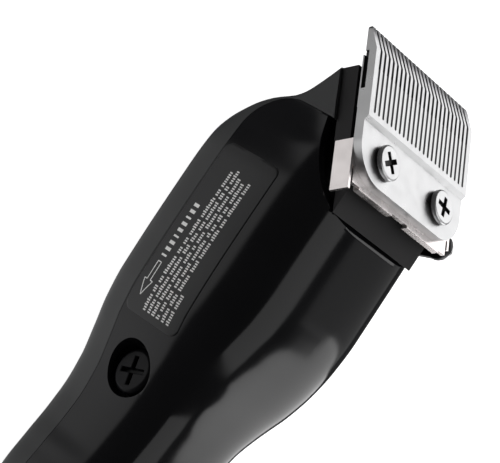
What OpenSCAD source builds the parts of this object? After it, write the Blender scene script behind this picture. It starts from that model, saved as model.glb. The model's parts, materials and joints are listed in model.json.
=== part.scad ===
// Mains hair clipper with a vibrator motor, lying on the flat back of its cover.
// +X points to the cutting teeth, +Y to the power screw, +Z to the belly side that
// carries the blade. The origin is on the resting face of the badge.

/* [Body] */
// Wall thickness of both housing shells
wall = 2.0; // [1.6:0.1:2.4]
// Height of the parting line between cover and housing
parting_z = 10.3; // [9.5:0.1:11]
// Radius of the bend that takes the parting line up behind the nose
parting_r = 12; // [11:0.5:13]
// Gap left along the parting line
parting_gap = 0.15; // [0.05:0.05:0.3]
// Points around each shell section
ring_points = 40; // [32:4:44]
// Length of the badge on the back of the cover
badge_len = 62; // [50:1:70]
// Width of the badge
badge_w = 26; // [20:1:30]

/* [Blades] */
// Tilt of the blade plane from the body axis
tilt = 33.1; // [32:0.1:34]
// Blade width
blade_w = 45; // [44:0.5:46]
// Ridge to the bend where the teeth slope away
comb_len = 17.8; // [17:0.1:18.5]
// Ridge to the tooth tips
tip_len = 24.4; // [24:0.1:25]
// Ridge to the lower edge of the blade
foot_len = 14.8; // [14:0.1:15.5]
// Spacing of the teeth
tooth_pitch = 1.85; // [1.8:0.01:1.9]
// Number of slots between the teeth
slots = 23; // [21:2:23]
// Width of one slot
slot_w = 0.85; // [0.7:0.05:1]
// Radius of the grooves between the ribs
groove_r = 0.46; // [0.4:0.02:0.56]
// Thickness of the toothed part
blade_t = 3.0; // [2.9:0.05:3.1]
// Distance of each blade screw from the middle
screw_y = 12.3; // [11.5:0.1:13]
// Distance of the blade screws below the ridge
screw_l = 7.7; // [7:0.1:8.5]

/* [Drive] */
// Place of the arm's pivot along the body
pivot_x = 20; // [18:1:22]
// Pivot pin radius
pivot_r = 2.0; // [1.8:0.1:2.2]
// Running clearance on radius
running = 0.05; // [0.02:0.01:0.1]
// Middle height of the magnet core
core_z = 17; // [16.5:0.1:17.5]
// Height of the lamination stack
stack_h = 15; // [14:0.5:15]
// Rest gap between the poles and the armature
air_gap = 1.7; // [1.6:0.1:1.9]

/* [Controls] */
// Power screw place along the body
power_x = 0.6; // [0:0.1:1]
// Power screw height
power_z = 20.1; // [19.5:0.1:20.5]
// Radius of the recess around the power screw
recess_r = 6.9; // [6.7:0.1:7]
// Lever length from its hub to its end
lever_len = 40; // [36:1:40]
// Angle of the lever below the body axis at rest, with the blades closed
lever_rest = 75; // [70:1:75]
// Switch button place along the body when off
button_x = -38.5; // [-39:0.1:-38]
// Travel of the switch button
button_travel = 5; // [4:0.5:5]
// Radius of the cord bore in the gland
cord_r = 3.2; // [3:0.1:3.4]

/* [Hidden] */
$fn = 48;

// Place of the blade ridge, where the comb face steps down to the screw plate
ridge_x = 80;
ridge_z = 41.7;
// Levels below the comb face, measured square to the blade
plate_drop = 1.1;
relief_n = -2;
rail_n = -3.45;
cutter_n = -blade_t - 0.03;
cutter_back_n = -4.55;
bracket_front_n = rail_n - 0.02;
bracket_back_n = bracket_front_n - 1;
// Farthest that the taper lever pushes the blade carrier, and what stays clear at full travel
blade_travel = 1.5;
travel_room = blade_travel + 0.3;
// Start of the cutter's web, the bracket plate's edge below it and the springs in that edge
web_l = 3.4;
bracket_end_l = web_l - travel_room;
spring_l = 0.5;
// End of the fixed blade's rails, and the start of the cutter
rail_end_l = 7.5;
cutter_l = rail_end_l + travel_room;
nose_front_n = bracket_back_n - 0.2;
cheek_front_n = -5.1;
snout_n = -9.7;
rim_n = -10.8;
// Hollow curve of the housing's front rim: its middle and radius
rim_mid_l = -9;
rim_mid_n = -12.9;
rim_r = 39.5;
// Slot centre of the first tooth gap
slot_y0 = -tooth_pitch * (slots - 1) / 2;
// Half width of the nose at its cheeks, then the bracket's ears outside them
cheek_y = 21.5;
ear_y = cheek_y + 0.2;
ear_t = 0.8;
// Hub of the taper lever in blade coordinates
hub_l = -12;
hub_n = -6.8;
hub_neck_r = 2.0;
hub_screw_r = 1.2;
// Half width of the nose below the cheeks, and the highest level of its root in the housing
foot_y = 17.2;
root_top_z = 38.9;
// Back plane of the cover and the badge pocket
back_z = 0.5;
pocket_z = 0.9;
rear_x = -66;
gland_z = 15.2;
loop_z = 22.6;
loop_r = 5.5;
loop_wire_r = 1.1;
core_x0 = -44;
core_x1 = -8;
pole_y = 3.2;
arm_plate_y = pole_y + air_gap + 4.5;

// Half width, belly level, back level and widest level at places along the body
half_width = [[-66, 10.5], [-61, 15.5], [-54, 19.2], [-46, 20.9], [-36, 21.7], [-26, 20.5],
  [-18, 19.3], [-11, 18.8], [-4, 19.4], [4, 21.4], [12, 23.6], [20, 24.7], [35, 25], [55, 24.8],
  [66, 23.9], [75, 22.8], [92, 22.2]];
belly_level = [[-66, 24.5], [-60, 28.6], [-52, 31], [-40, 32.4], [-28, 33.2], [-15, 33.7],
  [-5, 35.2], [2, 37.1], [11, 40.4], [18, 42.5], [26, 44.2], [35, 44.9], [92, 44.9]];
back_level = [[-66, 8], [-60, 3.4], [-52, 1.1], [-44, 0.5], [50, 0.5], [58, 1], [64, 2.9],
  [69, 6.3], [72.5, 10.2], [74.4, 13.7], [75.8, 17.2], [78, 20.1], [80, 21.5], [92, 27.7]];
wide_level = [[-66, 16], [-60, 12], [-50, 10.3], [60, 10.3], [69, 15], [75, 22], [80, 27], [92, 36]];
stations = [-66, -63.5, -61, -58, -54, -50, -46, -41, -36, -31, -26, -22, -18, -14.5, -11, -7.5,
  -4, 0, 4, 8, 12, 16, 20, 26, 32, 38, 46, 55, 60, 64, 67, 69, 71, 72.5, 73.5, 74.4, 75.2, 76,
  77, 78.5, 80, 85, 91];
inner_stations = concat([rear_x + wall], [for (x = stations) if (x > rear_x + wall + 1) x]);
// Squareness of the shell section, below and above its widest level
belly_power = 3.8;
back_power = [[-66, 3.4], [-50, 5.8], [66, 5.8], [74, 8], [79, 16], [92, 24]];

// Smooth curve through a table of [place, value] pairs
function span(t, x, i = 0) = (i >= len(t) - 2 || x < t[i + 1][0]) ? i : span(t, x, i + 1);
function rise(t, i) = (t[i + 1][1] - t[i][1]) / (t[i + 1][0] - t[i][0]);
function slope(t, i) =
  i == 0 ? rise(t, 0) : i == len(t) - 1 ? rise(t, i - 1) :
  let (a = rise(t, i - 1), b = rise(t, i)) a * b <= 0 ? 0 : 2 * a * b / (a + b);
function curve(t, x) =
  let (i = span(t, x), h = t[i + 1][0] - t[i][0], u = (x - t[i][0]) / h,
    m0 = slope(t, i) * h, m1 = slope(t, i + 1) * h)
  (2 * u * u * u - 3 * u * u + 1) * t[i][1] + (u * u * u - 2 * u * u + u) * m0
    + (3 * u * u - 2 * u * u * u) * t[i + 1][1] + (u * u * u - u * u) * m1;

// Curve moved inwards by d, keeping the wall where the curve is steep
function inward(t, x, d, sense) =
  d <= 0 ? curve(t, x) + sense * d :
  let (here = sense * curve(t, x) + d, skin = 0.3 * d,
    ahead = sense * curve(t, min(x + d, 91)) + skin, behind = sense * curve(t, max(x - d, rear_x)) + skin)
  sense * max(here, ahead, behind);

function power(v, e) = (v < 0 ? -1 : 1) * pow(abs(v), e);

function ring(x, d) =
  let (w = inward(half_width, x, d, -1), top = inward(belly_level, x, d, -1),
    low = inward(back_level, x, d, 1), mid = curve(wide_level, x))
  [for (k = [0 : ring_points - 1])
    let (a = 360 * (k + 0.5) / ring_points, upper = sin(a) >= 0,
      e = 2 / (upper ? belly_power : curve(back_power, x)), h = upper ? top - mid : mid - low)
    [x, w * power(cos(a), e), mid + h * power(sin(a), e)]];

// Closed body through the given stations, moved inwards by d
module body_form(d, places) {
  n = ring_points;
  last = len(places) - 1;
  points = [for (x = places) each ring(x, d)];
  sides = [for (i = [0 : last - 1], k = [0 : n - 1]) let (m = (k + 1) % n)
    [i * n + m, i * n + k, (i + 1) * n + k, (i + 1) * n + m]];
  ends = [[for (k = [0 : n - 1]) k], [for (k = [n - 1 : -1 : 0]) last * n + k]];
  polyhedron(points, concat(ends, sides), convexity = 8);
}

// Places its children in blade coordinates: X to the teeth, Z out of the comb face
module at_blade() translate([ridge_x, 0, ridge_z]) rotate([0, tilt, 0]) children();

// Solid behind the plane at level n of the blade coordinates
module behind_blade(n) at_blade() translate([-150, -60, n - 150]) cube([300, 120, 150]);

// Side view prism: everything on the belly side of the parting line, or on the cover side
module side_prism() rotate([90, 0, 0]) linear_extrude(120, center = true) children();
module parting_side(belly, gap) {
  r = parting_r + (belly ? 0 : gap);
  cx = 75.4 - parting_r;
  cz = parting_z + parting_r;
  arc = [for (a = [270 : 7.5 : 360]) [cx + r * cos(a), cz + r * sin(a)]];
  side_prism() polygon(concat([[-90, cz - r]], arc,
    belly ? [[cx + r, 60], [-90, 60]] : [[cx + r, 60], [120, 60], [120, -20], [-90, -20]]));
}

module wire(path, r) {
  for (i = [0 : len(path) - 2]) let (v = path[i + 1] - path[i], size = norm(v))
    translate(path[i]) rotate([0, acos(v[2] / size), atan2(v[1], v[0])]) cylinder(r = r, h = size, $fn = 24);
  for (p = path) translate(p) sphere(r = 1.04 * r, $fn = 24);
}

module along_y(r, y0, y1) translate([0, y0, 0]) rotate([-90, 0, 0]) cylinder(r = r, h = y1 - y0);
module along_x(r, x0, x1) translate([x0, 0, 0]) rotate([0, 90, 0]) cylinder(r = r, h = x1 - x0);
module rounded_plate(len_x, len_y, r, h)
  linear_extrude(h) for (m = [0, 1]) union() {
    square([len_x - 2 * r, len_y], center = true);
    square([len_x, len_y - 2 * r], center = true);
    for (sx = [-1, 1], sy = [-1, 1])
      translate([sx * (len_x / 2 - r), sy * (len_y / 2 - r)]) circle(r);
  }

// Cross recess for a screw head, cut down from z = 0
module cross_recess(arm, w, depth)
  for (a = [0, 90]) rotate(a) translate([-arm / 2, -w / 2, -depth]) cube([arm, w, depth + 1]);

cover_screw_places = [[52, 16], [52, -16], [-53, 0]];
core_screw_places = [[-41.2, -12.7], [-10.8, -12.7]];

module housing_boss(x, y, z0, r) {
  top = min(curve(belly_level, x - r), curve(belly_level, x + r)) - 0.6 * wall - 0.016 * y * y;
  translate([x, y, z0]) cylinder(r = r, h = top - z0);
}

module lower_housing() color([0.07, 0.07, 0.075]) difference() {
  union() {
    difference() {
      intersection() {
        body_form(0, stations);
        parting_side(true, 0);
        behind_blade(rim_n);
      }
      body_form(wall, inner_stations);
    }
    for (p = cover_screw_places) housing_boss(p[0], p[1], parting_z + 0.1, 3.2);
    for (p = core_screw_places) housing_boss(p[0], p[1], core_z + stack_h / 2, 3.2);
    housing_boss(pivot_x, 0, 26.5, 5);
    intersection() {
      translate([power_x, 0, power_z]) along_y(8.4, 13.4, 26);
      body_form(0.3, [for (x = stations) if (x > -12 && x < 13) x]);
    }
    translate([power_x, 0, power_z]) along_y(4.4, -18.6, -9);
  }
  at_blade() translate([rim_mid_l, 0, rim_mid_n + rim_r]) along_y(rim_r, -60, 60);
  for (p = cover_screw_places) translate([p[0], p[1], 0]) cylinder(r = 1.3, h = 22);
  for (p = core_screw_places) translate([p[0], p[1], 0]) cylinder(r = 1.4, h = 29);
  translate([pivot_x, 0, 0]) cylinder(r = pivot_r + 0.03, h = 34);
  translate([power_x, 0, power_z]) {
    along_y(recess_r, 15, 30);
    along_y(3 + running, 8, 16);
  }
  translate([button_x + button_travel / 2, -25 - 20.6, 20]) cube([19, 50, 9], center = true);
  translate([button_x + button_travel / 2, -20, 20]) cube([button_travel + 5, 8, 3.8], center = true);
  translate([0, 0, gland_z]) along_x(4.6, rear_x - 1, rear_x + 4);
  for (s = [-1, 1]) translate([0, s * loop_r, loop_z]) along_x(loop_wire_r, rear_x - 1, rear_x + 4);
}

module top_cover() color([0.2, 0.2, 0.2]) difference() {
  union() {
    difference() {
      intersection() {
        body_form(0, stations);
        parting_side(false, parting_gap);
        behind_blade(snout_n);
      }
      body_form(wall, inner_stations);
    }
    for (p = cover_screw_places) translate([p[0], p[1], 1.4]) cylinder(r = 4.2, h = parting_z - 1.5);
  }
  for (p = cover_screw_places) translate([p[0], p[1], -1]) {
    cylinder(r = 1.75, h = 20);
    cylinder(r = 3.4, h = 4.5);
  }
  translate([0, 0, -1]) rounded_plate(badge_len + 0.1, badge_w + 0.1, 6, pocket_z + 1);
}

module badge() color([0.1, 0.1, 0.1]) rounded_plate(badge_len, badge_w, 5.95, pocket_z);

// Stations of the shell that the instruction plate lies on
plate_places = [for (x = stations) if (x >= 12 && x <= 60) x];
module instruction_plate() color([0.15, 0.15, 0.15]) intersection() {
  difference() {
    body_form(-0.25, plate_places);
    body_form(-0.01, [for (x = stations) if (x >= 8 && x <= 64) x]);
  }
  translate([35.5, 30, 20.3]) rotate([90, 0, 0]) rounded_plate(46.5, 18.6, 2, 12);
}

// Outline of the nose square to the blade: wide cheeks above, narrow foot below
module nose_outline() {
  translate([-5, -cheek_y]) square([19.7, 2 * cheek_y]);
  translate([-22, -foot_y]) square([18, 2 * foot_y]);
}

module nose_block() color([0.17, 0.17, 0.17]) at_blade() difference() {
  union() {
    translate([0, 0, snout_n + 0.15]) linear_extrude(cheek_front_n - snout_n - 0.15) nose_outline();
    translate([0, 0, rim_n + 0.2]) linear_extrude(nose_front_n - rim_n - 0.2)
      translate([-22, -foot_y]) square([32, 2 * foot_y]);
    // Root inside the housing, clear of its belly wall
    difference() {
      translate([-22, -foot_y, -15]) cube([32, 2 * foot_y, 15 + nose_front_n]);
      rotate([0, -tilt, 0]) translate([-60, -40, root_top_z - ridge_z]) cube([120, 80, 40]);
    }
  }
  rotate([0, -tilt, 0]) translate([-60, -40, 2.5]) cube([120, 80, 40]);
  translate([-3.5, -9.5, -20]) cube([16.1, 19, 30]);
  for (s = [-1, 1]) translate([-9, s * 12, -20]) cylinder(r = 1.3, h = 12);
  translate([hub_l, -foot_y, hub_n]) along_y(hub_screw_r + 0.03, -1, 7);
}

module nose_screws() color([0.6, 0.6, 0.62]) at_blade() for (s = [-1, 1])
  translate([-9, s * 12, 0]) difference() {
    union() {
      translate([0, 0, -15]) cylinder(r = 1.3, h = 6);
      translate([0, 0, -17]) cylinder(r = 2.8, h = 2);
    }
    translate([0, 0, -17]) mirror([0, 0, 1]) cross_recess(3.2, 0.7, 1);
  }

// Side section of the fixed blade, then its outline seen square to the face
module blade_section() rotate([90, 0, 0]) linear_extrude(blade_w, center = true) polygon([
  [-foot_len, -plate_drop], [-1, -plate_drop], [0, 0], [comb_len, 0], [tip_len - 0.3, -2.1],
  [tip_len, -2.5], [tip_len - 0.3, -blade_t], [17.5, -blade_t], [17.5, relief_n],
  [rail_end_l, relief_n], [rail_end_l, rail_n], [-foot_len, rail_n]]);

module blade_outline() {
  r = 9;
  for (s = [-1, 1]) translate([r - foot_len, s * (blade_w / 2 - r)]) circle(r);
  translate([-foot_len, r - blade_w / 2]) square([40, blade_w - 2 * r]);
  translate([r - foot_len, -blade_w / 2]) square([tip_len + foot_len - r - 1.2, blade_w]);
  translate([0, 1.2 - blade_w / 2]) square([tip_len, blade_w - 2.4]);
  for (s = [-1, 1]) translate([tip_len - 1.2, s * (blade_w / 2 - 1.2)]) circle(1.2);
}

module fixed_blade() color([0.86, 0.86, 0.87]) at_blade() difference() {
  intersection() {
    blade_section();
    translate([0, 0, -5]) linear_extrude(10) blade_outline();
  }
  for (i = [0 : slots - 1]) translate([0, slot_y0 + i * tooth_pitch, 0]) {
    translate([comb_len - 4.6, -slot_w / 2, -5]) cube([12, slot_w, 10]);
    translate([0, 0, 0.12]) along_x(groove_r, 1.9, comb_len - 3);
    translate([1.9, 0, 0.12]) sphere(groove_r);
  }
  for (s = [-1, 1]) translate([-screw_l, s * screw_y, -5]) cylinder(r = 1.85, h = 8);
}

module blade_bracket() color([0.85, 0.81, 0.8]) at_blade() difference() {
  union() {
    translate([-16, -21, bracket_back_n]) cube([16 + bracket_end_l, 42, 1]);
    // Ears that run back beside the nose, the near one longer
    for (ear = [[ear_y, 18, 8.5], [-ear_y - ear_t, 14.2, 8.8]])
      translate([-ear[1], ear[0], -ear[2]]) cube([ear[1] - 5.3, ear_t, ear[2] + bracket_front_n]);
    translate([-12, -ear_y - ear_t, bracket_back_n]) cube([6.7, 2 * (ear_y + ear_t), 1]);
    for (y = [-18, 3.4]) translate([-16.6, y, bracket_back_n - 0.6]) cube([0.9, 14.6, 1.6]);
  }
  for (s = [-1, 1]) translate([-screw_l, s * screw_y, -8]) cylinder(r = 1.6, h = 8);
  for (s = [-1, 1]) translate([spring_l, s * 8.3, -8]) cylinder(r = 0.55, h = 8);
  // Open slot in the far ear for the neck of the taper lever
  translate([hub_l + 0.2, -30, hub_n]) along_y(hub_neck_r + 0.15, 0, 12);
  translate([hub_l - 4, -30, hub_n - hub_neck_r - 0.15]) cube([4.2, 12, 2 * hub_neck_r + 0.3]);
}

module blade_screws() color([0.82, 0.82, 0.83]) at_blade() for (s = [-1, 1])
  translate([-screw_l, s * screw_y, -plate_drop + 0.6]) difference() {
    union() {
      translate([0, 0, -4]) cylinder(r = 1.6, h = 5);
      cylinder(r = 4.3, h = 0.9);
      translate([0, 0, 0.9]) cylinder(r1 = 4.3, r2 = 3.9, h = 0.3);
    }
    translate([0, 0, 1.2]) rotate(20 * s + 10) cross_recess(5.2, 1.2, 0.9);
  }

module blade_washers() color([0.16, 0.15, 0.15]) at_blade() for (s = [-1, 1])
  translate([-screw_l, s * screw_y, -plate_drop]) difference() {
    cylinder(r = 4.0, h = 0.6);
    translate([0, 0, -1]) cylinder(r = 1.75, h = 3);
  }

module tension_springs() color([0.75, 0.75, 0.77]) at_blade() for (s = [-1, 1])
  wire([[spring_l, s * 8.3, bracket_back_n + 0.5], [spring_l, s * 8.3, -9.8], [7.6, s * 8.3, -9.8],
    [7.6, s * 4, -9.8]], 0.5);

module moving_blade() color([0.8, 0.8, 0.81]) at_blade() difference() {
  union() {
    rotate([90, 0, 0]) linear_extrude(40, center = true) polygon([[cutter_l, cutter_n],
      [23.4, cutter_n], [23.4, cutter_n - 0.25], [19, cutter_back_n], [cutter_l, cutter_back_n]]);
    translate([web_l, -21.2, cutter_back_n]) cube([13.9, 42.4, 0.5]);
    translate([web_l, -21.2, cutter_back_n]) cube([0.6, 42.4, 0.9]);
  }
  for (i = [0 : slots - 3]) translate([16.4, slot_y0 + (i + 1) * tooth_pitch - slot_w / 2, -6])
    cube([9, slot_w, 5]);
}

module blade_guide() color([0.12, 0.12, 0.12]) at_blade() difference() {
  translate([5.6, -6.2, -9]) cube([7, 12.4, 9 + cutter_back_n]);
  translate([6.9, -1.87, -10]) cube([4.3, 3.74, 9]);
}

// Point of the side view, from blade coordinates
function blade_point(l, n) =
  [ridge_x + l * cos(tilt) + n * sin(tilt), ridge_z - l * sin(tilt) + n * cos(tilt)];

module drive_arm() color([0.55, 0.55, 0.57]) difference() {
  union() {
    translate([0, 0, core_z - 4]) linear_extrude(8) polygon([[core_x0, arm_plate_y],
      [core_x0, arm_plate_y + 2], [-3.5, arm_plate_y + 2], [-3.5, 3], [50, 2.6], [64, 1.75],
      [64, -1.75], [50, -2.6], [-6.5, -3], [-6.5, arm_plate_y]]);
    translate([pivot_x, 0, core_z - 4]) cylinder(r = 6, h = 11);
    rotate([90, 0, 0]) linear_extrude(3.5, center = true) polygon([[60, 13], [66, 14.5],
      blade_point(10.8, -12), blade_point(10.8, -5.2), blade_point(7.2, -5.2),
      blade_point(7.2, -12), [65, 21], [60, 21]]);
  }
  translate([pivot_x, 0, 0]) cylinder(r = pivot_r + running, h = 40);
  for (x = [-38, -14]) translate([x, 0, core_z]) along_y(1.2, arm_plate_y - 1, arm_plate_y + 3);
}

module armature() color([0.5, 0.48, 0.46]) difference() {
  translate([core_x0, pole_y + air_gap, core_z - stack_h / 2])
    cube([core_x1 - core_x0, 4.5, stack_h]);
  for (x = [-38, -14]) translate([x, 0, core_z]) along_y(1.2, 0, arm_plate_y + 1);
}

module armature_rivets() color([0.7, 0.7, 0.7]) for (x = [-38, -14]) translate([x, 0, core_z]) {
  along_y(1.2, pole_y + air_gap, arm_plate_y + 2);
  along_y(2.2, arm_plate_y + 2, arm_plate_y + 2.8);
}

module pivot_pin() color([0.75, 0.75, 0.76]) translate([pivot_x, 0, 9]) difference() {
  cylinder(r = pivot_r, h = 25);
  translate([0, 0, 2]) difference() {
    cylinder(r = pivot_r + 1, h = 0.8);
    cylinder(r = pivot_r - 0.4, h = 0.8);
  }
}

module pivot_clip() color([0.45, 0.45, 0.47]) translate([pivot_x, 0, 11]) difference() {
  cylinder(r = 4.2, h = 0.8);
  translate([0, 0, -1]) cylinder(r = pivot_r - 0.4, h = 3);
  translate([0, -1.2, -1]) cube([6, 2.4, 3]);
}

module arm_springs() color([0.7, 0.7, 0.72]) translate([power_x, 0, power_z])
  for (ends = [[3.5, 7], [-9, -3.5]]) difference() {
    along_y(3.4, ends[0], ends[1]);
    along_y(2.5, ends[0] - 1, ends[1] + 1);
  }

module laminated_core() color([0.42, 0.4, 0.38]) difference() {
  translate([core_x0, -15.5, core_z - stack_h / 2])
    cube([core_x1 - core_x0, pole_y + 15.5, stack_h]);
  for (x = [-38.5, -21]) translate([x, -10, 0]) cube([7.5, 20, 40]);
  for (p = core_screw_places) translate([p[0], p[1], 0]) cylinder(r = 1.6, h = 40);
}

// Square tube around the middle leg of the core, from y0 to y1
module leg_tube(half_x, half_z, in_x, in_z, y0, y1) translate([-26, 0, core_z]) difference() {
  translate([-half_x, y0, -half_z]) cube([2 * half_x, y1 - y0, 2 * half_z]);
  translate([-in_x, y0 - 1, -in_z]) cube([2 * in_x, y1 - y0 + 2, 2 * in_z]);
}

module coil_bobbin() color([0.86, 0.84, 0.78]) {
  leg_tube(6, stack_h / 2 + 1.1, 5.05, stack_h / 2 + 0.05, -9.9, 2.2);
  for (y = [-9.9, 1.2]) leg_tube(12.2, 11.7, 5.5, stack_h / 2 + 0.5, y, y + 1);
}

module coil_winding() color([0.62, 0.34, 0.16])
  leg_tube(11.6, 11.2, 6.05, stack_h / 2 + 1.15, -8.85, 1.15);

module core_screws() color([0.6, 0.6, 0.62]) for (p = core_screw_places) translate([p[0], p[1], 0])
  difference() {
    union() {
      translate([0, 0, core_z - stack_h / 2]) cylinder(r = 1.4, h = 19);
      translate([0, 0, core_z - stack_h / 2 - 2]) cylinder(r = 2.9, h = 2);
    }
    translate([0, 0, core_z - stack_h / 2 - 2]) mirror([0, 0, 1]) cross_recess(3.4, 0.7, 1);
  }

module power_screw() color([0.1, 0.1, 0.1]) translate([power_x, 0, power_z]) difference() {
  union() {
    along_y(3, 7, 15.2);
    along_y(5.7, 15.2, 18);
    translate([0, 18, 0]) rotate([-90, 0, 0]) cylinder(r1 = 5.7, r2 = 4.9, h = 0.8);
  }
  translate([0, 18.8, 0]) rotate([-90, 0, 0]) rotate(18) cross_recess(7.2, 1.1, 1.6);
}

// Lever plate seen along Y, pointing back along the body
module lever_strip(x0, x1, w, y0, y1) translate([x0, y0, -w / 2]) cube([x1 - x0, y1 - y0, w]);

module at_hub() at_blade() translate([hub_l, 0, hub_n]) rotate([0, -tilt, 0]) children();

module taper_lever() color([0.72, 0.7, 0.69]) at_hub() rotate([0, -lever_rest, 0]) difference() {
  union() {
    along_y(hub_neck_r, -23, -foot_y - 0.1);
    along_y(3.4, -24.6, -23);
    lever_strip(-9, 0, 6.4, -24.6, -23);
    lever_strip(-10.4, -9, 6.4, -27.4, -23);
    lever_strip(3.5 - lever_len, -9, 6.4, -27.4, -25.8);
    translate([3.5 - lever_len, 0, 0]) along_y(3.5, -27.4, -25.8);
    lever_strip(3 - lever_len, 9 - lever_len, 1.2, -29.6, -27.4);
  }
  along_y(hub_screw_r + running, -30, -10);
}

module lever_screw() color([0.8, 0.8, 0.8]) at_hub() difference() {
  union() {
    along_y(hub_screw_r, -24.7, -11);
    along_y(2.7, -25.9, -24.7);
  }
  translate([0, -25.9, 0]) rotate([90, 0, 0]) cross_recess(3.4, 0.7, 0.8);
}

module switch_button() color([0.1, 0.1, 0.1]) translate([button_x, 0, 20]) difference() {
  union() {
    translate([-5, -22.8, -3.2]) cube([10, 1.9, 6.4]);
    translate([-2, -21, -1.5]) cube([4, 3.4, 3]);
  }
  for (x = [-3 : 1.5 : 3]) translate([x - 0.35, -23.3, -4]) cube([0.7, 0.8, 8]);
}

module switch_body() color([0.3, 0.3, 0.3]) translate([button_x + button_travel / 2, 0, 18.5])
  translate([-9, -17.4, -4.5]) cube([18, 1.7, 9]);

module lead_wires() color([0.5, 0.1, 0.1]) {
  wire([[-58.6, 1.4, gland_z], [-54, 4, 12], [-47.5, 8, 9], [-46, 5, 26.2], [-40.5, -4, 27],
    [-38.4, -4, 27]], 0.7);
  wire([[-58.6, -1.4, gland_z], [-52, -11.5, gland_z], [-46, -16, gland_z + 2]], 0.7);
}

module cord_gland() color([0.08, 0.08, 0.08]) translate([0, 0, gland_z]) difference() {
  union() {
    along_x(4.6, rear_x - 6, rear_x + 6);
    along_x(5.6, rear_x - 2, rear_x);
    along_x(5.6, rear_x + wall, rear_x + wall + 1.5);
  }
  along_x(cord_r, rear_x - 10, rear_x + 10);
}

module hanger_loop() color([0.8, 0.8, 0.8]) translate([rear_x - 2, 0, loop_z]) {
  rotate([0, 0, 90]) rotate_extrude(angle = 180) translate([loop_r, 0]) circle(loop_wire_r);
  for (s = [-1, 1]) translate([0, s * loop_r, 0]) along_x(loop_wire_r, 0, 5);
}

module cover_screws() color([0.25, 0.25, 0.26]) for (p = cover_screw_places)
  translate([p[0], p[1], 0]) difference() {
    union() {
      translate([0, 0, 3.4]) cylinder(r = 1.3, h = 15);
      translate([0, 0, 1.4]) cylinder(r = 3.1, h = 2.1);
    }
    translate([0, 0, 1.4]) mirror([0, 0, 1]) cross_recess(4, 0.8, 1.1);
  }

lower_housing();
top_cover();
badge();
instruction_plate();
nose_block();
nose_screws();
fixed_blade();
blade_bracket();
blade_screws();
blade_washers();
tension_springs();
moving_blade();
blade_guide();
drive_arm();
armature();
armature_rivets();
pivot_pin();
pivot_clip();
arm_springs();
laminated_core();
coil_bobbin();
coil_winding();
core_screws();
power_screw();
taper_lever();
lever_screw();
switch_button();
switch_body();
lead_wires();
cord_gland();
hanger_loop();
cover_screws();
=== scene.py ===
"""Looks of the hair clipper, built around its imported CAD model."""
import json
import math
import random

import bpy
from mathutils import Matrix, Vector


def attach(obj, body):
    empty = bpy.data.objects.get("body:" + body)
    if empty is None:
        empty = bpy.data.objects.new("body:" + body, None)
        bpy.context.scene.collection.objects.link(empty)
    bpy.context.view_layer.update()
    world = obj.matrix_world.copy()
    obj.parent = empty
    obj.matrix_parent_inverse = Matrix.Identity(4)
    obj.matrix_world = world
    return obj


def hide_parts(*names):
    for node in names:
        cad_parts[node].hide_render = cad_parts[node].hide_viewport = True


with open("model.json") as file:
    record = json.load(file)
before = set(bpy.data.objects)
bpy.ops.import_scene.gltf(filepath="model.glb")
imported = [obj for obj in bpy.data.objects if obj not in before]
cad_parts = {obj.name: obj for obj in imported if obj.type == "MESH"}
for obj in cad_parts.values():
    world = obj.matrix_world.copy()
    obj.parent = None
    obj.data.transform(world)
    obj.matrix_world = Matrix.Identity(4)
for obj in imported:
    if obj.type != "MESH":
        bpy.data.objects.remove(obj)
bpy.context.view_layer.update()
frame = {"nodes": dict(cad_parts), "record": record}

MM = 0.001
NODES = frame["nodes"]

# ---------------------------------------------------------------- shell shape, in mm
WALL = 2.0
PARTING_Z = 10.3
PARTING_R = 12.0
PARTING_GAP = 0.15
FRONT_X = 75.4
RIDGE = (80.0, 41.7)
TILT = math.radians(33.1)
SNOUT_N = -9.7
RIM_N = -10.8
RIM_MID = (-9.0, -12.9)
RIM_R = 39.5
REAR_X = -66.0
BELLY_POWER = 3.8

HALF_WIDTH = [(-66, 10.5), (-61, 15.5), (-54, 19.2), (-46, 20.9), (-36, 21.7), (-26, 20.5), (-18, 19.3),
              (-11, 18.8), (-4, 19.4), (4, 21.4), (12, 23.6), (20, 24.7), (35, 25), (55, 24.8),
              (66, 23.9), (75, 22.8), (92, 22.2)]
BELLY_LEVEL = [(-66, 24.5), (-60, 28.6), (-52, 31), (-40, 32.4), (-28, 33.2), (-15, 33.7), (-5, 35.2),
               (2, 37.1), (11, 40.4), (18, 42.5), (26, 44.2), (35, 44.9), (92, 44.9)]
BACK_LEVEL = [(-66, 8), (-60, 3.4), (-52, 1.1), (-44, 0.5), (50, 0.5), (58, 1), (64, 2.9), (69, 6.3),
              (72.5, 10.2), (74.4, 13.7), (75.8, 17.2), (78, 20.1), (80, 21.5), (92, 27.7)]
WIDE_LEVEL = [(-66, 16), (-60, 12), (-50, 10.3), (60, 10.3), (69, 15), (75, 22), (80, 27), (92, 36)]
BACK_POWER = [(-66, 3.4), (-50, 5.8), (66, 5.8), (74, 8), (79, 16), (92, 24)]

POWER_SCREW = (0.6, 20.1)
RECESS_R = 6.9
RECESS_FLOOR = 15.0
COVER_SCREWS = [(52, 16), (52, -16), (-53, 0)]
CORE_SCREWS = [(-41.2, -12.7), (-10.8, -12.7)]
PIVOT_X = 20.0
COVER_BOSS_R, COVER_HOLE_R = 3.2, 1.3
CORE_BOSS_R, CORE_HOLE_R, CORE_BOSS_Z = 3.2, 1.4, 24.5
PIVOT_BOSS_R, PIVOT_HOLE_R, PIVOT_BOSS_Z = 5, 2.03, 26.5
SCREW_SHANK_R, SCREW_HEAD_R, SCREW_HEAD_Z = 1.75, 3.4, 3.5
SEAT_R, POWER_SHANK_R = 8.4, 3.05
SWITCH_MID = (-36.0, 20.0)
GLAND_Z, GLAND_HOLE_R = 15.2, 4.6
LOOP = (5.5, 22.6, 1.1)
BADGE = (62.0, 26.0, 6.0, 0.9)
LABEL_MID = (35.5, 20.3)
LABEL_SIZE = (46.5, 18.6)
LABEL_R = 2.0
LABEL_T = 0.25

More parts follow.
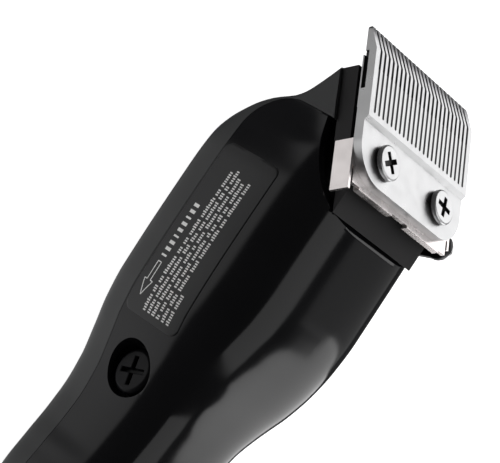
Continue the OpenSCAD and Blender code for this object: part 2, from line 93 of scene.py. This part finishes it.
RING_POINTS = 160
STATION_STEP = 1.0


def curve(table, x):
    """Smooth curve through a table of (place, value) pairs, without overshoot."""
    last = len(table) - 1
    i = 0
    while i < last - 1 and x >= table[i + 1][0]:
        i += 1

    def rise(k):
        return (table[k + 1][1] - table[k][1]) / (table[k + 1][0] - table[k][0])

    def slope(k):
        if k == 0 or k == last:
            return rise(min(k, last - 1))
        a, b = rise(k - 1), rise(k)
        return 0 if a * b <= 0 else 2 * a * b / (a + b)

    step = table[i + 1][0] - table[i][0]
    u = (x - table[i][0]) / step
    return ((2 * u**3 - 3 * u**2 + 1) * table[i][1] + (u**3 - 2 * u**2 + u) * slope(i) * step
            + (3 * u**2 - 2 * u**3) * table[i + 1][1] + (u**3 - u**2) * slope(i + 1) * step)


def inward(table, x, depth, sense):
    """The curve moved inwards by depth, which keeps the wall where the curve is steep."""
    here = sense * curve(table, x) + depth
    if depth <= 0:
        return sense * here
    ahead = sense * curve(table, min(x + depth, 91)) + 0.3 * depth
    behind = sense * curve(table, max(x - depth, REAR_X)) + 0.3 * depth
    return sense * max(here, ahead, behind)


def ring(x, depth):
    """Points around the shell's section at x, moved inwards by depth."""
    width = inward(HALF_WIDTH, x, depth, -1)
    top = inward(BELLY_LEVEL, x, depth, -1)
    low = inward(BACK_LEVEL, x, depth, 1)
    mid = curve(WIDE_LEVEL, x)
    points = []
    for k in range(RING_POINTS):
        a = math.tau * (k + 0.5) / RING_POINTS
        c, s = math.cos(a), math.sin(a)
        e = 2 / (BELLY_POWER if s >= 0 else curve(BACK_POWER, x))
        height = top - mid if s >= 0 else mid - low
        across, up = math.copysign(abs(c) ** e, c), math.copysign(abs(s) ** e, s)
        points.append((x, width * across, mid + height * up))
    return points


def side_y(x, z):
    """Half width of the housing's side wall at a place along the body and a level."""
    mid, top = curve(WIDE_LEVEL, x), curve(BELLY_LEVEL, x)
    share = min(max((z - mid) / (top - mid), 0), 1)
    return curve(HALF_WIDTH, x) * (1 - share**BELLY_POWER) ** (1 / BELLY_POWER)


# ---------------------------------------------------------------- mesh helpers, in mm
def new_object(name, points, faces):
    mesh = bpy.data.meshes.new(name)
    mesh.from_pydata([[c * MM for c in p] for p in points], [], faces)
    mesh.validate()
    mesh.update()
    obj = bpy.data.objects.new(name, mesh)
    bpy.context.scene.collection.objects.link(obj)
    return obj


def body_form(name, depth, start, end):
    """Closed body between two places, moved inwards by depth."""
    count = round((end - start) / STATION_STEP)
    places = [start + (end - start) * i / count for i in range(count + 1)]
    points = [p for x in places for p in ring(x, depth)]
    n = RING_POINTS
    faces = [list(reversed(range(n))), [count * n + k for k in range(n)]]
    for i in range(count):
        for k in range(n):
            m = (k + 1) % n
            faces.append([i * n + k, i * n + m, (i + 1) * n + m, (i + 1) * n + k])
    form = new_object(name, points, faces)
    if signed_volume(form) < 0:
        form.data.flip_normals()
    return form


def prism(name, outline, depth0, depth1, place):
    """Closed prism: place turns an outline point and a depth into a point in space."""
    n = len(outline)
    points = [place(u, v, d) for d in (depth0, depth1) for u, v in outline]
    faces = [list(range(n))[::-1], [n + k for k in range(n)]]
    faces += [[k, (k + 1) % n, n + (k + 1) % n, n + k] for k in range(n)]
    obj = new_object(name, points, faces)
    if signed_volume(obj) < 0:
        obj.data.flip_normals()
    return obj


def signed_volume(obj):
    obj.data.calc_loop_triangles()
    points = [v.co for v in obj.data.vertices]
    corners = (t.vertices for t in obj.data.loop_triangles)
    return sum(points[a].dot(points[b].cross(points[c])) for a, b, c in corners)


def side_view(u, v, d):
    return (u, d, v)


def top_view(u, v, d):
    return (u, v, d)


def end_view(u, v, d):
    return (d, u, v)


def blade_side(u, v, d):
    """Side view in the blade's own directions: u up to the teeth, v out of the face."""
    return (RIDGE[0] + u * math.cos(TILT) + v * math.sin(TILT), d,
            RIDGE[1] - u * math.sin(TILT) + v * math.cos(TILT))


def circle(u, v, r, count=64):
    angles = [math.tau * k / count for k in range(count)]
    return [(u + r * math.cos(a), v + r * math.sin(a)) for a in angles]


def rounded_rectangle(mid, size, r, count=8):
    points = []
    for sx, sy, turn in ((1, 1, 0), (-1, 1, 1), (-1, -1, 2), (1, -1, 3)):
        cx, cy = mid[0] + sx * (size[0] / 2 - r), mid[1] + sy * (size[1] / 2 - r)
        for k in range(count + 1):
            a = math.pi / 2 * (turn + k / count)
            points.append((cx + r * math.cos(a), cy + r * math.sin(a)))
    return points


def combine(obj, other, operation):
    """Applies a boolean with another closed body, and removes that body."""
    step = obj.modifiers.new("combine", "BOOLEAN")
    step.object, step.operation, step.solver = other, operation, "EXACT"
    graph = bpy.context.evaluated_depsgraph_get()
    mesh = bpy.data.meshes.new_from_object(obj.evaluated_get(graph))
    obj.modifiers.clear()
    obj.data = mesh
    bpy.data.objects.remove(other)


def parting_outline(belly_side, gap):
    """Side view of everything on one side of the parting line."""
    r = PARTING_R + gap
    cx, cz = FRONT_X - PARTING_R, PARTING_Z + PARTING_R
    arc = [(cx + r * math.cos(a), cz + r * math.sin(a))
           for a in (math.radians(270 + 90 * k / 32) for k in range(33))]
    ends = [(cx + r, 60), (-90, 60)] if belly_side else [(cx + r, 60), (120, 60), (120, -20), (-90, -20)]
    return [(-90, cz - r)] + arc + ends


def behind_blade(level):
    outline = [(-150, level), (150, level), (150, level - 150), (-150, level - 150)]
    return prism("cut", outline, -60, 60, blade_side)


# ---------------------------------------------------------------- materials
def node_material(name, colour, metallic, roughness, *, tint=0.12, blotch=0.012, grain=0.0004,
                  bump=0.15, depth=0.00001, uneven=0.08, stretch=(1, 1, 1), ior=1.5):
    """Material with slow variation in its colour and roughness, and a bump of fine grain."""
    material = bpy.data.materials.new(name)
    material.use_nodes = True
    tree = material.node_tree
    tree.nodes.clear()
    add, link = tree.nodes.new, tree.links.new
    out = add("ShaderNodeOutputMaterial")
    shader = add("ShaderNodeBsdfPrincipled")
    link(shader.outputs["BSDF"], out.inputs["Surface"])
    place = add("ShaderNodeTexCoord")
    stretched = add("ShaderNodeMapping")
    stretched.inputs["Scale"].default_value = stretch
    link(place.outputs["Object"], stretched.inputs["Vector"])

    slow = add("ShaderNodeTexNoise")
    slow.inputs["Scale"].default_value = 1 / blotch
    slow.inputs["Detail"].default_value = 4
    link(place.outputs["Object"], slow.inputs["Vector"])
    fine = add("ShaderNodeTexNoise")
    fine.inputs["Scale"].default_value = 1 / grain
    fine.inputs["Detail"].default_value = 3
    link(stretched.outputs["Vector"], fine.inputs["Vector"])

    ramp = add("ShaderNodeValToRGB")
    ramp.color_ramp.elements[0].position, ramp.color_ramp.elements[1].position = 0.3, 0.7
    ramp.color_ramp.elements[0].color = [c * (1 - tint) for c in colour] + [1]
    ramp.color_ramp.elements[1].color = [min(c * (1 + tint), 1) for c in colour] + [1]
    link(slow.outputs["Fac"], ramp.inputs["Fac"])
    link(ramp.outputs["Color"], shader.inputs["Base Color"])

    spread = add("ShaderNodeMapRange")
    spread.inputs["From Min"].default_value, spread.inputs["From Max"].default_value = 0.3, 0.7
    spread.inputs["To Min"].default_value = max(roughness - uneven, 0.02)
    spread.inputs["To Max"].default_value = min(roughness + uneven, 1)
    link(slow.outputs["Fac"], spread.inputs["Value"])
    link(spread.outputs["Result"], shader.inputs["Roughness"])

    relief = add("ShaderNodeBump")
    relief.inputs["Strength"].default_value = bump
    relief.inputs["Distance"].default_value = depth
    link(fine.outputs["Fac"], relief.inputs["Height"])
    link(relief.outputs["Normal"], shader.inputs["Normal"])

    shader.inputs["Metallic"].default_value = metallic
    shader.inputs["IOR"].default_value = ior
    return material


MATERIALS = {
    "black_gloss": node_material("black_gloss", (0.006, 0.006, 0.007), 0, 0.13, uneven=0.02, blotch=0.02,
                                 grain=0.0015, bump=0.06, depth=0.00002, ior=1.4),
    "black_satin": node_material("black_satin", (0.03, 0.031, 0.032), 0, 0.42, grain=0.0003, bump=0.3),
    "badge_black": node_material("badge_black", (0.02, 0.02, 0.021), 0, 0.3, grain=0.0006, bump=0.2),
    "label_film": node_material("label_film", (0.016, 0.016, 0.017), 0, 0.34, uneven=0.04, grain=0.0002,
                                bump=0.15, ior=1.44),
    "label_ink": node_material("label_ink", (0.78, 0.78, 0.77), 0, 0.5, tint=0.06, grain=0.0002, bump=0.1),
    "black_matt": node_material("black_matt", (0.013, 0.012, 0.013), 0, 0.55, grain=0.00025, bump=0.5,
                                depth=0.00002, ior=1.4),
    "zinc_steel": node_material("zinc_steel", (0.6, 0.6, 0.62), 1, 0.3, grain=0.0002),
    "blade_steel": node_material("blade_steel", (0.61, 0.61, 0.615), 1, 0.34, tint=0.05, blotch=0.003,
                                 grain=0.0003, bump=0.35, depth=0.000012, uneven=0.07),
    # painted shade: a darker steel for the tooth flanks, standing for the shade between the teeth
    "flank_painted_shade": node_material("flank_painted_shade", (0.3, 0.3, 0.305), 1, 0.42, tint=0.1, blotch=0.003,
                                grain=0.0003),
    # painted shade: a near black steel for the moving blade's faces inside its sides, standing for the shade
    # under the fixed blade
    "cutter_painted_shade": node_material("cutter_painted_shade", (0.05, 0.05, 0.052), 0.8, 0.45, grain=0.0003, bump=0.3),
    "recess_shade": node_material("recess_shade", (0.02, 0.02, 0.02), 0.6, 0.5, grain=0.0002),
    "nickel_sheet": node_material("nickel_sheet", (0.9, 0.845, 0.835), 1, 0.24, tint=0.05, blotch=0.005,
                                  grain=0.0005, bump=0.15),
    "screw_steel": node_material("screw_steel", (0.62, 0.62, 0.625), 1, 0.33, tint=0.05, blotch=0.002,
                                 grain=0.0002),
    "dark_steel": node_material("dark_steel", (0.045, 0.042, 0.042), 0.7, 0.4, grain=0.0002),
    "spring_steel": node_material("spring_steel", (0.6, 0.6, 0.6), 1, 0.28, grain=0.0002),
    "guide_plastic": node_material("guide_plastic", (0.02, 0.02, 0.02), 0, 0.45, grain=0.0003),
    "arm_zinc": node_material("arm_zinc", (0.5, 0.5, 0.52), 1, 0.45, grain=0.0004, bump=0.4, depth=0.00003),
    "lamination_steel": node_material("lamination_steel", (0.35, 0.33, 0.31), 1, 0.42, grain=0.0005, bump=0.8,
                                      depth=0.00006, stretch=(0.03, 0.03, 1)),
    "bobbin_nylon": node_material("bobbin_nylon", (0.75, 0.72, 0.62), 0, 0.5, grain=0.0004),
    "copper_wire": node_material("copper_wire", (0.6, 0.22, 0.07), 1, 0.28, grain=0.00035, bump=1,
                                 depth=0.0001, stretch=(0.03, 1, 0.03)),
    "screw_black": node_material("screw_black", (0.006, 0.006, 0.007), 0, 0.4, uneven=0.04, grain=0.0004,
                                 bump=0.2, ior=1.25),
    "lever_steel": node_material("lever_steel", (0.03, 0.03, 0.032), 0.6, 0.35, grain=0.0003),
    "button_black": node_material("button_black", (0.015, 0.015, 0.015), 0, 0.4, grain=0.0003, bump=0.4),
    "switch_grey": node_material("switch_grey", (0.18, 0.18, 0.18), 0, 0.5, grain=0.0004),
    "wire_red": node_material("wire_red", (0.35, 0.02, 0.02), 0, 0.4, grain=0.0003),
    "rubber_black": node_material("rubber_black", (0.014, 0.014, 0.014), 0, 0.5, grain=0.0004, bump=0.3),
    "loop_wire": node_material("loop_wire", (0.78, 0.78, 0.79), 1, 0.16, grain=0.0003, bump=0.1),
}


def dress(obj, slot, material=None):
    """Gives a piece its slot's material, or another one of the same slot."""
    obj.data.materials.clear()
    obj.data.materials.append(MATERIALS[material or slot])


def round_edges(obj, width, angle=35):
    """Rounds an object's sharp edges and keeps its flat faces flat in the shading."""
    for face in obj.data.polygons:
        face.use_smooth = True
    bevel = obj.modifiers.new("edges", "BEVEL")
    bevel.width, bevel.segments = width * MM, 2
    bevel.limit_method, bevel.angle_limit = "ANGLE", math.radians(angle)
    obj.modifiers.new("shade", "WEIGHTED_NORMAL").keep_sharp = True


# ---------------------------------------------------------------- shells
def housing_boss(x, y, z0, r):
    top = min(curve(BELLY_LEVEL, x - r), curve(BELLY_LEVEL, x + r)) - 0.6 * WALL - 0.016 * y * y
    return prism("boss", circle(x, y, r), z0, top, top_view)


def make_shell(name, belly_side):
    """One half of the body: hollow, cut along the parting line and behind the nose."""
    shell = body_form(name, 0, REAR_X, 91)
    gap = 0 if belly_side else PARTING_GAP
    combine(shell, prism("cut", parting_outline(belly_side, gap), -60, 60, side_view), "INTERSECT")
    combine(shell, behind_blade(RIM_N if belly_side else SNOUT_N), "INTERSECT")
    combine(shell, body_form("hollow", WALL, REAR_X + WALL, 91), "DIFFERENCE")
    return shell


def cut(shell, outline, depth0, depth1, place):
    combine(shell, prism("cut", outline, depth0, depth1, place), "DIFFERENCE")


def make_housing():
    shell = make_shell("housing_shell", True)
    bosses = [(x, y, PARTING_Z + 0.1, COVER_BOSS_R) for x, y in COVER_SCREWS]
    bosses += [(x, y, CORE_BOSS_Z, CORE_BOSS_R) for x, y in CORE_SCREWS]
    bosses.append((PIVOT_X, 0, PIVOT_BOSS_Z, PIVOT_BOSS_R))
    for boss in bosses:
        combine(shell, housing_boss(*boss), "UNION")
    px, pz = POWER_SCREW
    seat = prism("seat", circle(px, pz, SEAT_R), 13.4, 26, side_view)
    combine(seat, body_form("limit", 0.3, px - 11, px + 11), "INTERSECT")
    combine(shell, seat, "UNION")

    rim = [blade_side(*p, 0) for p in circle(RIM_MID[0], RIM_MID[1] + RIM_R, RIM_R, 256)]
    cut(shell, [(p[0], p[2]) for p in rim], -60, 60, side_view)
    for x, y in COVER_SCREWS:
        cut(shell, circle(x, y, COVER_HOLE_R, 32), 0, 22, top_view)
    for x, y in CORE_SCREWS:
        cut(shell, circle(x, y, CORE_HOLE_R, 32), 0, 29, top_view)
    cut(shell, circle(PIVOT_X, 0, PIVOT_HOLE_R, 32), 0, 34, top_view)
    cut(shell, circle(px, pz, RECESS_R, 96), RECESS_FLOOR, 30, side_view)
    cut(shell, circle(px, pz, POWER_SHANK_R, 48), 8, 16, side_view)
    cut(shell, rounded_rectangle(SWITCH_MID, (19, 9), 0.8), -50, -20.6, side_view)
    cut(shell, rounded_rectangle(SWITCH_MID, (10, 3.8), 0.3), -24, -16, side_view)
    cut(shell, circle(0, GLAND_Z, GLAND_HOLE_R), REAR_X - 1, REAR_X + 4, end_view)
    for s in (-1, 1):
        cut(shell, circle(s * LOOP[0], LOOP[1], LOOP[2], 24), REAR_X - 1, REAR_X + 4, end_view)
    return shell


def make_cover():
    shell = make_shell("cover_shell", False)
    for x, y in COVER_SCREWS:
        combine(shell, prism("boss", circle(x, y, 4.2), 1.4, PARTING_Z - 0.1, top_view), "UNION")
    for x, y in COVER_SCREWS:
        cut(shell, circle(x, y, SCREW_SHANK_R, 32), -1, 19, top_view)
        cut(shell, circle(x, y, SCREW_HEAD_R, 48), -1, SCREW_HEAD_Z, top_view)
    pocket = rounded_rectangle((0, 0), (BADGE[0] + 0.1, BADGE[1] + 0.1), BADGE[2], 12)
    cut(shell, pocket, -1, BADGE[3], top_view)
    return shell


housing = make_housing()
dress(housing, "black_gloss")
round_edges(housing, 0.35, angle=40)
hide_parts("lower_housing")
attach(housing, "housing")

cover = make_cover()
dress(cover, "black_satin")
round_edges(cover, 0.3, angle=40)
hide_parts("top_cover")
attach(cover, "housing")


# ---------------------------------------------------------------- instruction plate and its print
def on_wall(x, z, lift):
    """Point over the side wall, lifted square to it."""
    step = 0.05
    y = side_y(x, z)
    normal = Vector((-(side_y(x + step, z) - y) / step, 1, -(side_y(x, z + step) - y) / step)).normalized()
    return Vector((x, y, z)) + normal * lift


def plate_reach(z):
    """Half length of the plate at a level, shorter within its rounded corners."""
    beyond = abs(z - LABEL_MID[1]) - (LABEL_SIZE[1] / 2 - LABEL_R)
    full = LABEL_SIZE[0] / 2
    return full if beyond <= 0 else full - LABEL_R + math.sqrt(max(LABEL_R**2 - beyond**2, 0))


def make_plate():
    columns, rows = 64, 40
    points = []
    for lift in (-0.05, LABEL_T):
        for i in range(rows + 1):
            t = -math.cos(math.pi * i / rows)
            z = LABEL_MID[1] + t * LABEL_SIZE[1] / 2
            for k in range(columns + 1):
                points.append(on_wall(LABEL_MID[0] + (2 * k / columns - 1) * plate_reach(z), z, lift))
    width, layer = columns + 1, (columns + 1) * (rows + 1)
    faces = []
    for i in range(rows):
        for k in range(columns):
            a = i * width + k
            faces.append([a, a + width, a + width + 1, a + 1])
            faces.append([layer + a, layer + a + 1, layer + a + width + 1, layer + a + width])
    edge = [k for k in range(width)] + [i * width + columns for i in range(1, rows + 1)]
    edge += [rows * width + k for k in reversed(range(columns))]
    edge += [i * width for i in reversed(range(1, rows))]
    for a, b in zip(edge, edge[1:] + edge[:1]):
        faces.append([a, b, layer + b, layer + a])
    return new_object("label_plate", points, faces)


def make_print():
    """White marks that stand for print: an arrow to the power screw and rows of short strokes."""
    points, faces = [], []

    def stroke(x0, z0, x1, z1, width):
        along = Vector((x1 - x0, z1 - z0))
        across = Vector((-along.y, along.x)).normalized() * width / 2
        pieces = max(1, math.ceil(along.length / 1.5))
        start = len(points)
        for i in range(pieces + 1):
            mid = Vector((x0, z0)) + along * i / pieces
            for side in (-1, 1):
                spot = mid + across * side
                points.append(on_wall(spot.x, spot.y, LABEL_T + 0.02))
        for i in range(pieces):
            a = start + 2 * i
            faces.append([a, a + 1, a + 3, a + 2])

    arrow = [(16.6, 14.1), (20.6, 12.6), (20.6, 13.5), (25.6, 13.5), (25.6, 14.7), (20.6, 14.7), (20.6, 15.6)]
    for (x0, z0), (x1, z1) in zip(arrow, arrow[1:] + arrow[:1]):
        stroke(x0, z0, x1, z1, 0.24)
    rng = random.Random(7)
    for k in range(9):
        x = 27.4 + 1.75 * k
        stroke(x, 13.2, x, 15.0, 0.85 if k % 3 else 0.5)
    for row in range(6):
        z = 17.2 + 1.72 * row
        x, end = 14.2, 50.5 if row < 5 else 21.5
        while x < end:
            for _ in range(rng.randint(2, 9)):
                tall = rng.random() < 0.3
                stroke(x, z - (0.25 if tall else 0), x, z + 0.85, 0.36)
                x += 0.62
            x += rng.uniform(0.5, 0.9)
    mark = new_object("label_print", points, faces)
    solid = mark.modifiers.new("thickness", "SOLIDIFY")
    solid.thickness, solid.offset = 0.02 * MM, -1
    return mark


plate = make_plate()
dress(plate, "label_film")
round_edges(plate, 0.08, angle=50)
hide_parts("instruction_plate")
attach(plate, "housing")
ink = make_print()
dress(ink, "label_film", "label_ink")
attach(ink, "housing")

# ---------------------------------------------------------------- CAD nodes that stay
SCREW_L = -7.7
SCREW_Y = 12.3
RECESS_REACH = 3.0
# Half width of the moving blade inside which its faces get the painted shade.
CUTTER_SIDE = 20.9
COMB_SIDE = 20.3


def blade_place(point):
    """A point in the blade's own directions, in mm: up to the teeth, across, out of the face."""
    x, y, z = point / MM
    x, z = x - RIDGE[0], z - RIDGE[1]
    return (x * math.cos(TILT) - z * math.sin(TILT), y, x * math.sin(TILT) + z * math.cos(TILT))


def paint_faces(obj, material, chosen):
    """Gives the chosen faces another material of the same piece."""
    obj.data.materials.append(MATERIALS[material])
    index = len(obj.data.materials) - 1
    for face in obj.data.polygons:
        if chosen(blade_place(face.center), face.normal):
            face.material_index = index


# The tooth flanks between the comb's teeth, which get the painted shade.
def on_tooth_flank(at, normal):
    return abs(normal.y) > 0.7 and abs(at[1]) < COMB_SIDE and at[0] > 1


def paint_recesses(obj):
    """Darkens the cross recesses, which are the faces under a screw head's top near its middle."""
    head_top = max(blade_place(v.co)[2] for v in obj.data.vertices)

    def in_recess(at, _):
        return at[2] < head_top - 0.05 and math.hypot(at[0] - SCREW_L, abs(at[1]) - SCREW_Y) < RECESS_REACH

    paint_faces(obj, "recess_shade", in_recess)


EDGE_WIDTH = {"fixed_blade": 0.12, "moving_blade": 0.08, "nose_block": 0.35, "power_screw": 0.3,
              "blade_screws": 0.15, "blade_bracket": 0.3, "taper_lever": 0.25, "badge": 0.25,
              "switch_button": 0.2, "cord_gland": 0.3, "blade_guide": 0.25, "drive_arm": 0.4,
              "armature": 0.2, "laminated_core": 0.2, "coil_winding": 0.8, "coil_bobbin": 0.15}
slots = {part["node"]: part["material_slot"] for part in frame["record"]["subparts"]}
for name, obj in NODES.items():
    if obj.hide_render:
        continue
    dress(obj, slots[name])
    if name == "fixed_blade":
        # painted shade on the tooth flanks: a darker steel in place of the shade between the teeth
        paint_faces(obj, "flank_painted_shade", on_tooth_flank)
    elif name == "moving_blade":
        # painted shade on the moving blade inside its sides: near black for the shade under the fixed blade
        paint_faces(obj, "cutter_painted_shade", lambda at, normal: abs(at[1]) < CUTTER_SIDE)
    elif name == "blade_screws":
        paint_recesses(obj)
    weld = obj.modifiers.new("weld", "WELD")
    weld.merge_threshold = 0.001 * MM
    flat = obj.modifiers.new("flat", "DECIMATE")
    flat.decimate_type, flat.angle_limit = "DISSOLVE", math.radians(0.5)
    round_edges(obj, EDGE_WIDTH.get(name, 0.1))

# ---------------------------------------------------------------- floor, light and camera
TABLE_LIGHT = 0.75
ROOM_LIGHT = 0.06
FLOOR_HALF, FLOOR_FRONT = 1500, 130
corners = [(-FLOOR_HALF, -FLOOR_HALF, 0), (FLOOR_HALF, -FLOOR_HALF, 0), (FLOOR_HALF, FLOOR_FRONT, 0),
           (-FLOOR_HALF, FLOOR_FRONT, 0)]
floor = new_object("floor", corners, [[0, 1, 2, 3]])
floor_paint = node_material("floor_paint", (0.8, 0.8, 0.8), 0, 0.8, tint=0.02, blotch=0.2, grain=0.004,
                            bump=0.05)
floor_shader = floor_paint.node_tree.nodes["Principled BSDF"]
floor_shader.inputs["Emission Color"].default_value = (1, 1, 1, 1)
floor_shader.inputs["Emission Strength"].default_value = 1.0
floor.data.materials.append(floor_paint)
floor.visible_glossy = False

world = bpy.data.worlds.new("studio")
bpy.context.scene.world = world
world.use_nodes = True
sky = world.node_tree


def sky_node(kind, **settings):
    node = sky.nodes.new(kind)
    for key, value in settings.items():
        setattr(node, key, value)
    return node


def sky_ramp(source, low, high, to_low, to_high):
    """Smooth step of a value between two levels."""
    ramp = sky_node("ShaderNodeMapRange", interpolation_type="SMOOTHSTEP")
    for key, value in (("From Min", low), ("From Max", high), ("To Min", to_low), ("To Max", to_high)):
        ramp.inputs[key].default_value = value
    sky.links.new(source, ramp.inputs["Value"])
    return ramp.outputs["Result"]


direction = sky_node("ShaderNodeSeparateXYZ")
sky.links.new(sky_node("ShaderNodeTexCoord").outputs["Generated"], direction.inputs["Vector"])
aside = sky_node("ShaderNodeMath", operation="MULTIPLY_ADD")
aside.inputs[1].default_value = -0.21
sky.links.new(direction.outputs["Y"], aside.inputs[0])
sky.links.new(direction.outputs["X"], aside.inputs[2])
table = sky_node("ShaderNodeMath", operation="MULTIPLY")
sky.links.new(sky_ramp(direction.outputs["Z"], -0.34, -0.24, TABLE_LIGHT, 0), table.inputs[0])
sky.links.new(sky_ramp(aside.outputs["Value"], -0.03, 0.04, 1, 0), table.inputs[1])
room = sky_node("ShaderNodeMath", operation="ADD")
room.inputs[1].default_value = ROOM_LIGHT
sky.links.new(table.outputs["Value"], room.inputs[0])
shown = sky_node("ShaderNodeMix", data_type="FLOAT")
shown.inputs["B"].default_value = 1
sky.links.new(room.outputs["Value"], shown.inputs["A"])
sky.links.new(sky_node("ShaderNodeLightPath").outputs["Is Camera Ray"], shown.inputs["Factor"])
background = sky.nodes["Background"]
background.inputs["Color"].default_value = (1, 1, 1, 1)
sky.links.new(shown.outputs["Result"], background.inputs["Strength"])


def soft_light(name, centre, target, width, height, radiance):
    """Rectangular light of an even brightness, facing its target. Sizes are in mm."""
    light = bpy.data.lights.new(name, "AREA")
    light.shape, light.size, light.size_y = "RECTANGLE", width * MM, height * MM
    light.energy = 4 * light.size * light.size_y * radiance
    obj = bpy.data.objects.new(name, light)
    bpy.context.scene.collection.objects.link(obj)
    back = (Vector(centre) - Vector(target)).normalized()
    turn = back.to_track_quat("Z", "Y").to_matrix().to_4x4()
    obj.matrix_world = Matrix.Translation(Vector(centre) * MM) @ turn
    obj.visible_camera = False
    return obj


soft_light("far_bank", (-225, -655, 220), (72, -21, 30), 424, 700, 1.8)
soft_light("far_dim", (60, -620, 330), (50, 0, 30), 180, 500, 0.3)
soft_light("blade_bank", (520, -540, 190), (80, 0, 40), 620, 520, 1.2)
soft_light("overhead", (40, -130, 700), (40, -60, 30), 900, 560, 0.8)

CAMERA_PLACE = (22.58, 396.13, 390.36)
CAMERA_RIGHT = Vector((0.552, -0.563, 0.615))
CAMERA_BACK = Vector((-0.039, 0.720, 0.693))
camera = bpy.data.objects.new("camera", bpy.data.cameras.new("camera"))
bpy.context.scene.collection.objects.link(camera)
camera.data.lens, camera.data.sensor_width = 161.06, 36
camera.data.clip_start = 0.01
back = CAMERA_BACK.normalized()
right = (CAMERA_RIGHT - back * CAMERA_RIGHT.dot(back)).normalized()
axes = Matrix((right, back.cross(right), back)).transposed()
camera.matrix_world = Matrix.Translation(Vector(CAMERA_PLACE) * MM) @ axes.to_4x4()
bpy.context.scene.camera = camera
bpy.context.scene.view_settings.view_transform = "Standard"
bpy.context.scene.view_settings.look = "None"
